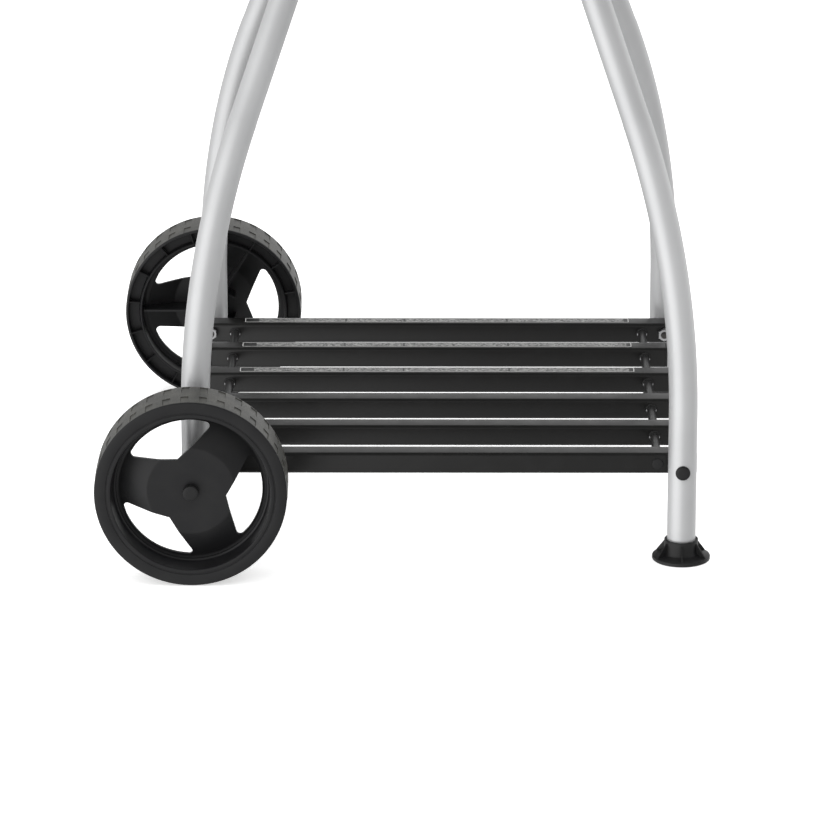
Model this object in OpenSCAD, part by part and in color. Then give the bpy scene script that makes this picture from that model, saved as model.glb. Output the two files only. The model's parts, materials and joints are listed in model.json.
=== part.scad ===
// Kettle charcoal grill on a four-legged, two-wheeled cart with a slatted shelf.
// Millimetres. +X points to the feet side, +Y to the back, +Z up.
// The origin is on the ground, midway between the four legs.

/* [Cart] */
// Distance between neighbouring leg centres
leg_spacing = 508; // [480:1:540]
// Outside diameter of the leg tube
leg_d = 30; // [26:0.5:34]
// Wall thickness of the leg tube
leg_wall = 1.5; // [1:0.1:3]
// Height at which the legs start to bend inwards
bend_z = 160; // [150:1:200]
// Centre line radius of the leg bend
bend_r = 668; // [600:1:720]
// Angle of the leg bend
bend_angle = 26.7; // [20:0.1:28]
// Height of the axle
axle_z = 100; // [98:1:104]

/* [Shelf] */
// Number of slats
slat_count = 6; // [4:1:6]
// Front to back size of a slat
slat_depth = 26; // [22:0.5:28]
// Height of a slat
slat_height = 22.5; // [18:0.5:24]
// Wall thickness of a slat
slat_wall = 1.5; // [1:0.1:2.5]
// Corner radius of a slat
slat_round = 4; // [3:0.5:6]
// Length of the inner slats
slat_length = 504; // [490:1:508]
// Length of the outer slats, which run behind the legs
outer_slat_length = 536; // [520:1:560]
// Distance of the cross rods from the middle of the shelf
rod_x = 229; // [200:1:232]
// Diameter of the cross rods
rod_d = 9; // [6:0.5:10]

/* [Wheels and feet] */
// Wheel diameter
wheel_d = 200; // [190:1:200]
// Wheel width
wheel_width = 55; // [50:1:60]
// Gap between a leg and the inner face of its wheel
wheel_gap = 17; // [14:1:22]
// Diameter of the axle bolt
axle_d = 12; // [8:0.5:14]
// Diameter of the foot flange
foot_d = 61; // [50:1:66]
// Height of the foot
foot_height = 22; // [20:1:30]

/* [Kettle] */
// Radius of the bowl at its rim
bowl_r = 285; // [270:1:290]
// Height of the bowl rim above the ground
rim_z = 815; // [800:1:830]
// Depth of the bowl
bowl_depth = 210; // [200:1:220]
// Height of the lid dome
lid_height = 195; // [180:1:205]
// Radius of the shoulder where the dome turns into the wall
shoulder_r = 150; // [140:1:160]
// Thickness of the enamelled sheet
sheet = 1.6; // [1.2:0.1:2.5]
// Distance of the side handle grips from the kettle axis
grip_x = 346; // [345:1:355]

/* [Hidden] */
$fn = 64;
eps = 0.01;
half = leg_spacing / 2;
leg_r = leg_d / 2;
leg_reach = round(half * sqrt(2) * 10) / 10;
swage = 0.3;
low_leg_z = 74;
bend_top_z = bend_z + bend_r * sin(bend_angle);
bend_top_reach = leg_reach - bend_r * (1 - cos(bend_angle));
shelf_z = axle_z - 1;
slat_pitch = (leg_spacing - leg_d - slat_depth - 0.5) / (slat_count - 1);
outer_slat_y = slat_pitch * (slat_count - 1) / 2;
slat_face_y = outer_slat_y - slat_depth / 2;
bolt_d = 8;
nut_h = 6.5;
nut_across = 13;
cap_d = 15.5;
cap_h = 2.4;
wheel_r = wheel_d / 2;
wheel_x = -half - 2.5;
wheel_in_y = half + leg_r + wheel_gap;
wheel_out_y = wheel_in_y + wheel_width;
// Depths are measured inwards from a wheel's outer face
hub_depth = 11;
rim_web_depth = 25;
hub_disc_r = 46;
web = 4;
cap_depth = 2.5;
head_depth = 19;
hub_r = 15;
hub_back = 2;
lid_r = bowl_r + 2.5;

// Two tangent arcs make each dome: a shoulder arc and a crown arc.
function crown_rise(a, b) = ((a - shoulder_r) * (a - shoulder_r) - (b - shoulder_r) * (b - shoulder_r))
    / (2 * (b - shoulder_r));
function crown_r(a, b) = b + crown_rise(a, b);
function crown_angle(a, b) = atan2(a - shoulder_r, crown_rise(a, b));

bowl_crown_r = crown_r(bowl_r, bowl_depth);
bowl_crown_z = rim_z + crown_rise(bowl_r, bowl_depth);
lid_base_z = rim_z + 0.4 + sheet;
lid_crown_r = crown_r(lid_r, lid_height);
lid_crown_z = lid_base_z - crown_rise(lid_r, lid_height);

// Where the axis of the straight upper leg meets the bowl
meet_b = -sin(bend_angle) * bend_top_reach + cos(bend_angle) * (bend_top_z - bowl_crown_z);
meet_c = bend_top_reach * bend_top_reach + pow(bend_top_z - bowl_crown_z, 2) - bowl_crown_r * bowl_crown_r;
upper_leg = -meet_b - sqrt(meet_b * meet_b - meet_c);
socket_len = 62;
leg_stop = 14;

vent_r = 54;
vent_d = 30;
lever_turn = -17;
damper_gap = 0.5;
lid_vent_tilt = 22;
gauge_tilt = 25;
grate_z = rim_z - 25;
grate_pitch = 22;
grate_bar = 4.6;
coal_r = 208;
wire_r = 3;
coal_z = bowl_crown_z - sqrt(pow(bowl_crown_r - sheet - 0.4, 2) - pow(coal_r + wire_r, 2)) + wire_r;
handle_z = lid_crown_z + lid_crown_r + 66;

// ---------- legs ----------

module upper_leg_frame() {
    translate([bend_top_reach, 0, bend_top_z]) rotate([0, -bend_angle, 0]) children();
}

module leg_core(r, low, top) {
    translate([leg_reach, 0, low]) cylinder(r = r, h = bend_z - low);
    translate([leg_reach - bend_r, 0, bend_z]) rotate([90, 0, 0])
        rotate_extrude(angle = bend_angle, $fn = 180) translate([bend_r, 0]) circle(r = r);
    // The straight top end is swaged a little smaller, to go into its socket
    upper_leg_frame() translate([0, 0, -1]) cylinder(r = r - swage, h = top + 1);
}

module leg(sx, sy, low) {
    color("silver") difference() {
        rotate(atan2(sy, sx)) difference() {
            leg_core(leg_r, low, upper_leg - leg_stop);
            leg_core(leg_r - leg_wall, low - 1, upper_leg - leg_stop + 1);
            upper_leg_frame() translate([0, 0, upper_leg - 45]) rotate([90, 0, 0])
                cylinder(d = 6.4, h = 60, center = true);
        }
        translate([sx < 0 ? wheel_x : half, sy * half, sx < 0 ? axle_z : shelf_z]) rotate([90, 0, 0])
            cylinder(d = sx < 0 ? axle_d + 0.4 : bolt_d + 0.4, h = leg_d * 2, center = true);
    }
}

module leg_front_left() { leg(-1, -1, low_leg_z); }
module leg_front_right() { leg(1, -1, 4); }
module leg_rear_left() { leg(-1, 1, low_leg_z); }
module leg_rear_right() { leg(1, 1, 4); }

module leg_end_plugs() {
    for (sy = [-1, 1]) color("black") translate([-half, sy * half, 0]) {
        translate([0, 0, low_leg_z - 3]) cylinder(r = leg_r, h = 3);
        translate([0, 0, low_leg_z - eps]) cylinder(r = leg_r - leg_wall - 0.1, h = 10);
    }
}

module foot(sy) {
    color("black") translate([half, sy * half, 0]) {
        difference() {
            union() {
                rotate_extrude() polygon([[0, 0], [foot_d / 2, 0], [foot_d / 2, 3.2], [foot_d / 2 - 2, 4.6],
                    [24, 4.6], [19.5, 8.5], [17.8, 13], [17.2, foot_height], [0, foot_height]]);
                for (k = [0 : 5]) rotate(k * 60 + 30) translate([10, -1, 0])
                    rotate([90, 0, 0]) translate([0, 0, -2]) linear_extrude(height = 2)
                        polygon([[0, 4], [19.5, 4], [8, 17], [0, 17]]);
            }
            translate([0, 0, 4]) cylinder(r = leg_r + 0.15, h = foot_height);
        }
        translate([0, 0, 4 - eps]) difference() {
            cylinder(r = leg_r - leg_wall - 0.15, h = 14);
            translate([0, 0, 2]) cylinder(r = leg_r - leg_wall - 2.2, h = 14);
        }
    }
}

module foot_front() { foot(-1); }
module foot_rear() { foot(1); }

// ---------- shelf ----------

module round_bar(depth, height, r, len) {
    rotate([0, 90, 0]) linear_extrude(height = len, center = true) {
        square([height - 2 * r, depth], center = true);
        square([height, depth - 2 * r], center = true);
        for (a = [-1, 1], b = [-1, 1]) translate([a * (height / 2 - r), b * (depth / 2 - r)]) circle(r = r);
    }
}

// Slat 1 is the front one
module slat(n) {
    outer = n == 1 || n == slat_count;
    len = outer ? outer_slat_length : slat_length;
    color([0.06, 0.06, 0.06]) translate([0, (n - 1) * slat_pitch - outer_slat_y, shelf_z]) difference() {
        round_bar(slat_depth, slat_height, slat_round, len);
        round_bar(slat_depth - 2 * slat_wall, slat_height - 2 * slat_wall, slat_round - slat_wall, len + 2);
        for (s = [-1, 1]) translate([s * rod_x, 0, 0]) rotate([90, 0, 0])
            cylinder(d = rod_d + 0.3, h = slat_depth * 2, center = true);
        if (outer) {
            translate([half, 0, 0]) rotate([90, 0, 0])
                cylinder(d = bolt_d + 0.4, h = slat_depth * 2, center = true);
            translate([wheel_x, 0, axle_z - shelf_z]) rotate([90, 0, 0])
                cylinder(d = axle_d + 0.4, h = slat_depth * 2, center = true);
        }
    }
}

module shelf_slat_1() { slat(1); }
module shelf_slat_2() { slat(2); }
module shelf_slat_3() { slat(3); }
module shelf_slat_4() { slat(4); }
module shelf_slat_5() { slat(5); }
module shelf_slat_6() { slat(6); }

module slat_end_caps() {
    for (n = [1 : slat_count], s = [-1, 1])
        color("black") translate([0, (n - 1) * slat_pitch - outer_slat_y, shelf_z]) {
            len = n == 1 || n == slat_count ? outer_slat_length : slat_length;
            translate([s * (len / 2 + 1), 0, 0]) round_bar(slat_depth, slat_height, slat_round, 2);
            translate([s * (len / 2 - 2.5 + eps), 0, 0]) round_bar(slat_depth - 2 * slat_wall - 0.2,
                slat_height - 2 * slat_wall - 0.2, slat_round - slat_wall, 5);
        }
}

module rod(s) {
    color([0.1, 0.1, 0.1]) translate([s * rod_x, 0, shelf_z]) rotate([90, 0, 0])
        cylinder(d = rod_d, h = 2 * outer_slat_y + slat_depth, center = true);
}

module shelf_rod_left() { rod(-1); }
module shelf_rod_right() { rod(1); }

// Push-on collars on both faces of the slats, except the two outer faces
module rod_clips() {
    for (s = [-1, 1], n = [1 : slat_count], f = [-1, 1])
        if (!(n == 1 && f < 0) && !(n == slat_count && f > 0))
            color("black") translate([s * rod_x,
                (n - 1) * slat_pitch - outer_slat_y + f * slat_depth / 2, shelf_z]) rotate([-90 * f, 0, 0])
                difference() {
                    cylinder(d1 = rod_d + 4, d2 = rod_d + 2.4, h = 2);
                    translate([0, 0, -1]) cylinder(d = rod_d, h = 4);
                }
}

module rod_end_plugs() {
    for (s = [-1, 1], f = [-1, 1]) color("black")
        translate([s * rod_x, f * (outer_slat_y + slat_depth / 2 + 0.6), shelf_z]) rotate([90, 0, 0])
            cylinder(d = rod_d + 3, h = 1.2, center = true);
}

// Thin blank stickers on top of the three rear slats
module shelf_labels() {
    for (n = [4 : 6]) color([0.35, 0.35, 0.35])
        translate([-218.5, (n - 1) * slat_pitch - outer_slat_y - 8, shelf_z + slat_height / 2])
            cube([437, 16, 0.3]);
}

// ---------- fasteners of the cart ----------

module hex_nut(hole, across, h) {
    difference() {
        cylinder(d = across / cos(30), h = h, $fn = 6);
        translate([0, 0, -1]) cylinder(d = hole, h = h + 2);
    }
}

// Points local +Z from the outside of the cart towards its middle
module inwards(x, sy, y, z) {
    translate([x, sy * y, z]) rotate([sy * 90, 0, 0]) children();
}

module leg_bolts() {
    for (sy = [-1, 1]) color("silver") inwards(half, sy, half + leg_r, shelf_z) {
        translate([0, 0, -1.8]) cylinder(d = 12, h = 1.8);
        cylinder(d = bolt_d, h = half + leg_r - slat_face_y + nut_h + 2);
    }
}

module bolt_caps() {
    for (sy = [-1, 1]) color("black") inwards(half, sy, half + leg_r + cap_h + 0.2, shelf_z) {
        difference() {
            cylinder(d1 = cap_d - 3, d2 = cap_d, h = cap_h);
            translate([0, 0, cap_h - 1.7]) cylinder(d = 12.2, h = 3);
        }
    }
}

module shelf_nuts() {
    for (sy = [-1, 1]) {
        color("silver") inwards(half, sy, slat_face_y, shelf_z) hex_nut(bolt_d, nut_across, nut_h);
        color("silver") inwards(wheel_x, sy, slat_face_y, axle_z) hex_nut(bolt_d, nut_across, nut_h);
    }
}

// ---------- wheels ----------

// Local +Z points out of the wheel's inner face, and z = 0 is its outer face
module wheel_place(sy) {
    translate([wheel_x, sy * wheel_out_y, axle_z]) rotate([sy * 90, 0, 0]) children();
}

module wheel_body(turn) {
    color([0.13, 0.13, 0.13]) difference() {
        union() {
            rotate_extrude($fn = 180) polygon([[wheel_r - 18, 1.5], [wheel_r - 16.5, 0], [wheel_r - 2, 0],
                [wheel_r, 2], [wheel_r, wheel_width - 2], [wheel_r - 1.5, wheel_width],
                [wheel_r - 3.5, wheel_width], [wheel_r - 4, wheel_width - 12], [wheel_r - 15, wheel_width - 12],
                [wheel_r - 17, wheel_width - 4], [wheel_r - 20, wheel_width - 4], [wheel_r - 20.5, rim_web_depth]]);
            difference() {
                rotate_extrude($fn = 180) polygon([[0, hub_depth], [hub_disc_r, hub_depth],
                    [wheel_r - 24, rim_web_depth], [wheel_r - 19, rim_web_depth],
                    [wheel_r - 19, rim_web_depth + web], [wheel_r - 25, rim_web_depth + web],
                    [hub_disc_r - 1, hub_depth + web], [0, hub_depth + web]]);
                for (k = [0 : 2]) rotate(turn + 60 + 120 * k) intersection() {
                    cylinder(r = wheel_r - 27, h = wheel_width);
                    translate([37, 0, 0]) linear_extrude(height = wheel_width)
                        polygon([[0, 0], [30, 70], [90, 70], [90, -70], [30, -70]]);
                }
            }
            translate([0, 0, hub_depth + web - eps])
                cylinder(r = hub_r, h = wheel_width + hub_back - hub_depth - web);
            for (k = [0 : 15]) rotate(turn + 22.5 * k) translate([wheel_r - 16, -1, wheel_width - 14])
                cube([13, 2, 13]);
            for (k = [0 : 2]) rotate(turn + 120 * k) rotate([90, 0, 0])
                linear_extrude(height = 3, center = true) polygon([[hub_r - 1, hub_depth + web - 1],
                    [hub_disc_r, hub_depth + web - 1], [wheel_r - 24, rim_web_depth + 2],
                    [wheel_r - 19.5, rim_web_depth + 2], [wheel_r - 19.5, wheel_width - 9],
                    [hub_r - 1, wheel_width - 9]]);
        }
        cylinder(d = axle_d + 0.16, h = 3 * wheel_width, center = true);
        translate([0, 0, -1]) cylinder(d = 16.2, h = head_depth + 6);
    }
}

module wheel_front() { wheel_place(-1) wheel_body(-52); }
module wheel_rear() { wheel_place(1) wheel_body(60); }

// A long plug in the counterbore, which covers the head of the axle bolt
module hub_cap() {
    color([0.12, 0.12, 0.12]) translate([0, 0, cap_depth]) difference() {
        union() {
            cylinder(r1 = 7.2, r2 = 8, h = 0.8);
            translate([0, 0, 0.8 - eps]) cylinder(r = 8, h = 15.2);
        }
        translate([0, 0, 3]) cylinder(r = 6, h = 20);
    }
}

module hub_cap_front() { wheel_place(-1) hub_cap(); }
module hub_cap_rear() { wheel_place(1) hub_cap(); }

// The head sits in the hub's counterbore, and a shoulder ends against the shelf
module axle_bolt(sy) {
    length = wheel_out_y - slat_face_y - head_depth;
    color("silver") wheel_place(sy) translate([0, 0, head_depth]) {
        difference() {
            cylinder(d = 14.5, h = 4.9);
            translate([0, 0, -1]) cylinder(d = 6 / cos(30), h = 4, $fn = 6);
        }
        translate([0, 0, 4]) cylinder(d = axle_d, h = length - 4.2);
        translate([0, 0, 4]) cylinder(d = bolt_d, h = length - 4 + nut_h + 1.5);
    }
}

module axle_bolts() {
    axle_bolt(-1);
    axle_bolt(1);
}

// The washer runs against the hub, and the spacer stands between it and the leg
module axle_washers() {
    for (sy = [-1, 1]) color("silver") wheel_place(sy) translate([0, 0, wheel_width + hub_back + 0.3])
        difference() {
            cylinder(d = 24, h = 1);
            translate([0, 0, -1]) cylinder(d = axle_d, h = 3);
        }
}

module axle_spacers() {
    for (sy = [-1, 1]) color("black") wheel_place(sy) translate([0, 0, wheel_width + hub_back + 1.3])
        difference() {
            cylinder(d = 20, h = wheel_gap - hub_back - 1.4);
            translate([0, 0, -1]) cylinder(d = axle_d, h = wheel_gap + 2);
        }
}

// ---------- kettle shells ----------

// The part of the plane from angle a0 to angle a1, counted from the vertical
module wedge(a0, a1, up) {
    far = 1000;
    polygon([[0, 0], for (a = [a0, (a0 + a1) / 2, a1]) [far * sin(a), up * far * cos(a)]]);
}

module ring_2d(r, t) {
    difference() {
        circle(r = r, $fn = 360);
        circle(r = r - t, $fn = 360);
    }
}

// Half section of a dome with half width a and height b; up is 1 for the lid and -1 for the bowl
module dome_2d(a, b, t, up) {
    bend = crown_angle(a, b);
    translate([0, -up * crown_rise(a, b)]) intersection() {
        ring_2d(crown_r(a, b), t);
        wedge(0, bend, up);
    }
    translate([a - shoulder_r, 0]) intersection() {
        ring_2d(shoulder_r, t);
        wedge(bend, 90, up);
    }
    // Joins the two arcs inside the sheet
    translate([a - shoulder_r + (shoulder_r - t / 2) * sin(bend), up * (shoulder_r - t / 2) * cos(bend)])
        circle(r = t / 3);
}

// Everything within r of the shoulder arc's centre line: the space inside the bowl wall near the rim
module shoulder_solid(r) {
    translate([0, 0, rim_z]) rotate_extrude($fn = 180) {
        translate([bowl_r - shoulder_r, 0]) intersection() {
            circle(r = r, $fn = 360);
            translate([0, -500]) square([500, 1000]);
        }
        translate([0, -r]) square([bowl_r - shoulder_r, 2 * r]);
    }
}

module bowl_holes(r, hole, n) {
    for (k = [0 : n - 1]) rotate(k * 360 / n) translate([r, 0, -60]) cylinder(d = hole, h = 120);
}

module bowl() {
    bead = 3.5;
    color([0.05, 0.05, 0.05]) difference() {
        translate([0, 0, rim_z]) rotate_extrude($fn = 180) {
            dome_2d(bowl_r, bowl_depth, sheet, -1);
            translate([bowl_r + 1.5, -bead]) circle(r = bead);
        }
        rotate(lever_turn) translate([0, 0, rim_z - bowl_depth]) bowl_holes(vent_r, vent_d, 3);
        translate([0, 0, rim_z - bowl_depth - 5]) cylinder(d = 8, h = 20);
    }
}

module grate_rests() {
    color("silver") intersection() {
        for (k = [0 : 3]) rotate(k * 90 + 41) translate([0, 0, grate_z - wire_r - 2.3])
            rotate_extrude(angle = 8) translate([266, 0]) square([20, 2]);
        shoulder_solid(shoulder_r - sheet - 0.05);
    }
}

// ---------- grates ----------

function chord(r, d) = 2 * sqrt(r * r - d * d);

// Parallel bars along X in a ring, on two cross bars along Y; the ring is centred on z = 0
module round_grate(r, pitch, bar_w, cross_x) {
    count = floor(r / pitch - 0.3);
    rotate_extrude($fn = 180) translate([r - wire_r, -wire_r]) square([2 * wire_r, 2 * wire_r]);
    for (k = [-count : count]) translate([-chord(r, k * pitch) / 2, k * pitch - bar_w / 2, -bar_w / 2])
        cube([chord(r, k * pitch), bar_w, bar_w]);
    for (s = [-1, 1]) translate([s * cross_x - wire_r, -chord(r - 12, cross_x) / 2, 1 - 2 * wire_r - bar_w / 2])
        cube([2 * wire_r, chord(r - 12, cross_x), 2 * wire_r]);
}

module charcoal_grate() {
    color("gray") translate([0, 0, coal_z]) round_grate(coal_r, 26, 5.4, 90);
}

module cooking_grate() {
    color("silver") translate([0, 0, grate_z]) round_grate(272, grate_pitch, grate_bar, 120);
}

// A lifting bow on each side, welded on top of two bars
module grate_handles() {
    bar = 4.8;
    reach = 2 * grate_pitch;
    color("silver") for (s = [-1, 1]) translate([s * 215 - bar / 2, 0, grate_z + grate_bar / 2]) {
        for (y = [-reach, reach]) translate([0, y - bar / 2, 0]) cube([bar, bar, 24]);
        translate([0, -reach - bar / 2, 24 - eps]) cube([bar, 2 * reach + bar, bar]);
    }
}

// ---------- bowl vent and ash catcher ----------

module shell_below_bowl(gap, t) {
    translate([0, 0, bowl_crown_z]) difference() {
        sphere(r = bowl_crown_r + gap + t, $fn = 360);
        sphere(r = bowl_crown_r + gap, $fn = 360);
    }
}

module bowl_damper() {
    color("silver") rotate(lever_turn) difference() {
        intersection() {
            shell_below_bowl(damper_gap, 1.5);
            translate([0, 0, rim_z - bowl_depth - 10]) {
                cylinder(r = 78, h = 60);
                translate([60, -8, 0]) cube([156, 16, 100]);
            }
        }
        translate([0, 0, rim_z - bowl_depth]) bowl_holes(vent_r, vent_d, 3);
        translate([0, 0, rim_z - bowl_depth - 10]) cylinder(d = 8.16, h = 30);
    }
}

module damper_knob() {
    color("black") rotate(lever_turn) difference() {
        translate([206, 0, rim_z - bowl_depth + 38]) {
            cylinder(d = 17, h = 60);
            sphere(d = 17);
        }
        translate([0, 0, bowl_crown_z]) sphere(r = bowl_crown_r + damper_gap + 1.5, $fn = 360);
    }
}

module damper_rivet() {
    color("silver") translate([0, 0, rim_z - bowl_depth]) {
        translate([0, 0, -6]) cylinder(d = 16, h = 3.7);
        translate([0, 0, -6]) cylinder(d = 8, h = 11);
        translate([0, 0, sheet + 0.2]) cylinder(d = 16, h = 3);
    }
}

module ash_hanger() {
    color("silver") {
        translate([0, 0, rim_z - bowl_depth - 22]) rotate_extrude($fn = 180) translate([107, 0]) square([2, 5]);
        difference() {
            for (k = [0 : 2]) rotate(60 + 120 * k) translate([107, -7, rim_z - bowl_depth - 22])
                cube([2.2, 14, 60]);
            translate([0, 0, bowl_crown_z]) sphere(r = bowl_crown_r, $fn = 360);
        }
    }
}

module ash_catcher() {
    color("silver") translate([0, 0, rim_z - bowl_depth - 30]) rotate_extrude($fn = 180)
        polygon([[0, 0], [84, 0], [106.5, 10], [106.5, 24], [105.3, 24], [105.3, 10.8], [83.7, 1.2], [0, 1.2]]);
}

// ---------- leg sockets ----------

module socket(sx, sy) {
    color([0.08, 0.08, 0.08]) difference() {
        rotate(atan2(sy, sx)) difference() {
            upper_leg_frame() translate([0, 0, upper_leg - socket_len]) {
                cylinder(r = leg_r + 3.5, h = socket_len + 30);
                translate([0, 0, socket_len - 12]) cylinder(r1 = leg_r + 3.5, r2 = leg_r + 16, h = 40);
            }
            upper_leg_frame() translate([0, 0, upper_leg - socket_len - 1])
                cylinder(r = leg_r + 0.1, h = socket_len - leg_stop + 1);
            upper_leg_frame() translate([0, 0, upper_leg - 45]) rotate([90, 0, 0])
                cylinder(d = 6.4, h = 60, center = true);
        }
        translate([0, 0, bowl_crown_z]) sphere(r = bowl_crown_r, $fn = 360);
    }
}

module socket_front_left() { socket(-1, -1); }
module socket_front_right() { socket(1, -1); }
module socket_rear_left() { socket(-1, 1); }
module socket_rear_right() { socket(1, 1); }

module socket_screws() {
    reach = leg_r + 3.5;
    for (a = [45 : 90 : 315]) color("silver") rotate(a) upper_leg_frame()
        translate([0, 0, upper_leg - 45]) rotate([90, 0, 0]) {
            cylinder(d = 6, h = 2 * reach + 6, center = true);
            translate([0, 0, reach]) cylinder(d = 12, h = 4);
            translate([0, 0, -reach - 5]) cylinder(d = 10 / cos(30), h = 5, $fn = 6);
        }
}

// ---------- side handles ----------

module bracket(s) {
    color("silver") difference() {
        union() {
            translate([0, 0, rim_z]) rotate(s > 0 ? -14 : 166) rotate_extrude(angle = 28, $fn = 180) intersection() {
                translate([bowl_r - shoulder_r, 0]) ring_2d(shoulder_r + 2.5, 2.5);
                translate([200, -52]) square([200, 24]);
            }
            for (y = [-60, 57]) translate([s > 0 ? 270 : -356, y, rim_z - 50]) cube([86, 3, 20]);
        }
        shoulder_solid(shoulder_r);
        translate([s * grip_x, 0, rim_z - 40]) rotate([90, 0, 0]) cylinder(d = 5, h = 200, center = true);
    }
}

module bracket_left() { bracket(-1); }
module bracket_right() { bracket(1); }

module grip(s) {
    color([0.1, 0.1, 0.1]) translate([s * grip_x, 0, rim_z - 40]) rotate([90, 0, 0]) difference() {
        cylinder(d = 28, h = 114, center = true);
        cylinder(d = 5, h = 200, center = true);
    }
}

module grip_left() { grip(-1); }
module grip_right() { grip(1); }

module bracket_screws() {
    for (s = [-1, 1], f = [-1, 1]) color("silver") translate([s * grip_x, f * 60, rim_z - 40])
        rotate([-90 * f, 0, 0]) {
            cylinder(d = 11, h = 3);
            translate([0, 0, -25]) cylinder(d = 5, h = 26);
        }
}

// ---------- lid ----------

// Turns local +Z to the outward direction at an angle from the lid's top
module on_lid(tilt) {
    translate([0, 0, lid_crown_z]) rotate([tilt, 0, 0]) children();
}

module lid_vent_holes() {
    for (k = [0 : 3]) rotate(45 + 90 * k) translate([24, 0, lid_crown_r - 30]) cylinder(d = 17, h = 60);
}

module lid() {
    color([0.05, 0.05, 0.05]) difference() {
        union() {
            translate([0, 0, lid_base_z]) rotate_extrude($fn = 180) dome_2d(lid_r, lid_height, sheet, 1);
            translate([0, 0, rim_z - 10]) rotate_extrude($fn = 180)
                polygon([[291.5, 0], [293.1, 0], [293.1, 10.42 + sheet], [lid_r - sheet, 10.42 + sheet],
                    [lid_r - sheet, 10.4], [291.5, 10.4]]);
        }
        on_lid(-lid_vent_tilt) {
            lid_vent_holes();
            translate([0, 0, lid_crown_r - 30]) cylinder(d = 6, h = 60);
        }
        on_lid(gauge_tilt) translate([0, 0, lid_crown_r - 30]) cylinder(d = 8, h = 60);
        for (s = [-1, 1]) translate([s * 55, 0, lid_crown_z + lid_crown_r - 40]) cylinder(d = 6, h = 60);
    }
}

module lid_handle_posts() {
    color("silver") for (s = [-1, 1]) translate([s * 55, 0, 0]) difference() {
        translate([0, 0, lid_crown_z + lid_crown_r - 10]) {
            cylinder(d = 12, h = 76);
            cylinder(d = 20, h = 10);
        }
        translate([-s * 55, 0, lid_crown_z]) sphere(r = lid_crown_r, $fn = 360);
        translate([0, 0, handle_z]) rotate([0, 90, 0]) cylinder(d = 30, h = 200, center = true);
        translate([0, 0, lid_crown_z + lid_crown_r - 20]) cylinder(d = 6, h = 40);
    }
}

module lid_grip() {
    color([0.1, 0.1, 0.1]) translate([0, 0, handle_z]) rotate([0, 90, 0]) {
        cylinder(d = 30, h = 156, center = true);
        for (s = [-1, 1]) translate([0, 0, s * 78]) sphere(d = 30);
    }
}

module lid_heat_shield() {
    color("silver") translate([0, 0, lid_crown_z + lid_crown_r + 18]) difference() {
        translate([-75, -24, 0]) cube([150, 48, 1.2]);
        for (s = [-1, 1]) translate([s * 55, 0, -1]) cylinder(d = 12, h = 4);
    }
}

module lid_handle_screws() {
    under = lid_crown_z + sqrt(pow(lid_crown_r - sheet, 2) - 61 * 61);
    color("silver") for (s = [-1, 1]) translate([s * 55, 0, 0]) {
        translate([0, 0, under - 3.1]) cylinder(d = 12, h = 3);
        translate([0, 0, under - 3.1]) cylinder(d = 6, h = 26);
    }
}

module lid_damper() {
    color("silver") on_lid(-lid_vent_tilt) {
        difference() {
            intersection() {
                difference() {
                    sphere(r = lid_crown_r + damper_gap + 1.2, $fn = 360);
                    sphere(r = lid_crown_r + damper_gap, $fn = 360);
                }
                translate([0, 0, lid_crown_r - 20]) cylinder(r = 42, h = 40);
            }
            lid_vent_holes();
            translate([0, 0, lid_crown_r - 30]) cylinder(d = 6.16, h = 60);
        }
        translate([-11, -38, lid_crown_r - 0.2]) cube([22, 1.5, 16]);
    }
}

module lid_damper_rivet() {
    color("silver") on_lid(-lid_vent_tilt) translate([0, 0, lid_crown_r]) {
        translate([0, 0, damper_gap + 1.5]) cylinder(d = 13, h = 2.5);
        translate([0, 0, -4]) cylinder(d = 6, h = 8);
        translate([0, 0, -sheet - 2.6]) cylinder(d = 12, h = 2.5);
    }
}

// ---------- thermometer ----------

module gauge_case() {
    color("silver") on_lid(gauge_tilt) difference() {
        translate([0, 0, lid_crown_r - 8]) cylinder(r = 30, h = 22);
        sphere(r = lid_crown_r, $fn = 360);
        translate([0, 0, lid_crown_r + 4]) cylinder(r = 27.5, h = 20);
        translate([0, 0, lid_crown_r - 20]) cylinder(d = 5, h = 60);
    }
}

module gauge_glass() {
    color([0.8, 0.9, 0.95, 0.35]) on_lid(gauge_tilt) translate([0, 0, lid_crown_r + 11.5])
        cylinder(r = 27.5, h = 1.5);
}

module gauge_needle() {
    color("red") on_lid(gauge_tilt) translate([0, 0, lid_crown_r + 6]) difference() {
        union() {
            cylinder(r = 3.2, h = 1.2);
            rotate(225) linear_extrude(height = 0.8) polygon([[-7, -1.2], [-7, 1.2], [21, 0.4], [21, -0.4]]);
        }
        translate([0, 0, -1]) cylinder(d = 3.1, h = 4);
    }
}

module gauge_stem() {
    color("silver") on_lid(gauge_tilt) translate([0, 0, lid_crown_r]) {
        translate([0, 0, -48]) cylinder(d = 5, h = 53);
        translate([0, 0, 4]) cylinder(d = 3, h = 4.5);
    }
}

leg_front_left();
leg_front_right();
leg_rear_left();
leg_rear_right();
shelf_slat_1();
shelf_slat_2();
shelf_slat_3();
shelf_slat_4();
shelf_slat_5();
shelf_slat_6();
slat_end_caps();
shelf_rod_left();
shelf_rod_right();
rod_clips();
rod_end_plugs();
shelf_labels();
leg_bolts();
bolt_caps();
shelf_nuts();
foot_front();
foot_rear();
leg_end_plugs();
wheel_front();
wheel_rear();
hub_cap_front();
hub_cap_rear();
axle_bolts();
axle_spacers();
axle_washers();
socket_front_left();
socket_front_right();
socket_rear_left();
socket_rear_right();
socket_screws();
bowl();
grate_rests();
charcoal_grate();
cooking_grate();
grate_handles();
bowl_damper();
damper_knob();
damper_rivet();
ash_hanger();
ash_catcher();
bracket_left();
bracket_right();
grip_left();
grip_right();
bracket_screws();
lid();
lid_handle_posts();
lid_grip();
lid_heat_shield();
lid_handle_screws();
lid_damper();
lid_damper_rivet();
gauge_case();
gauge_glass();
gauge_needle();
gauge_stem();
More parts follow.
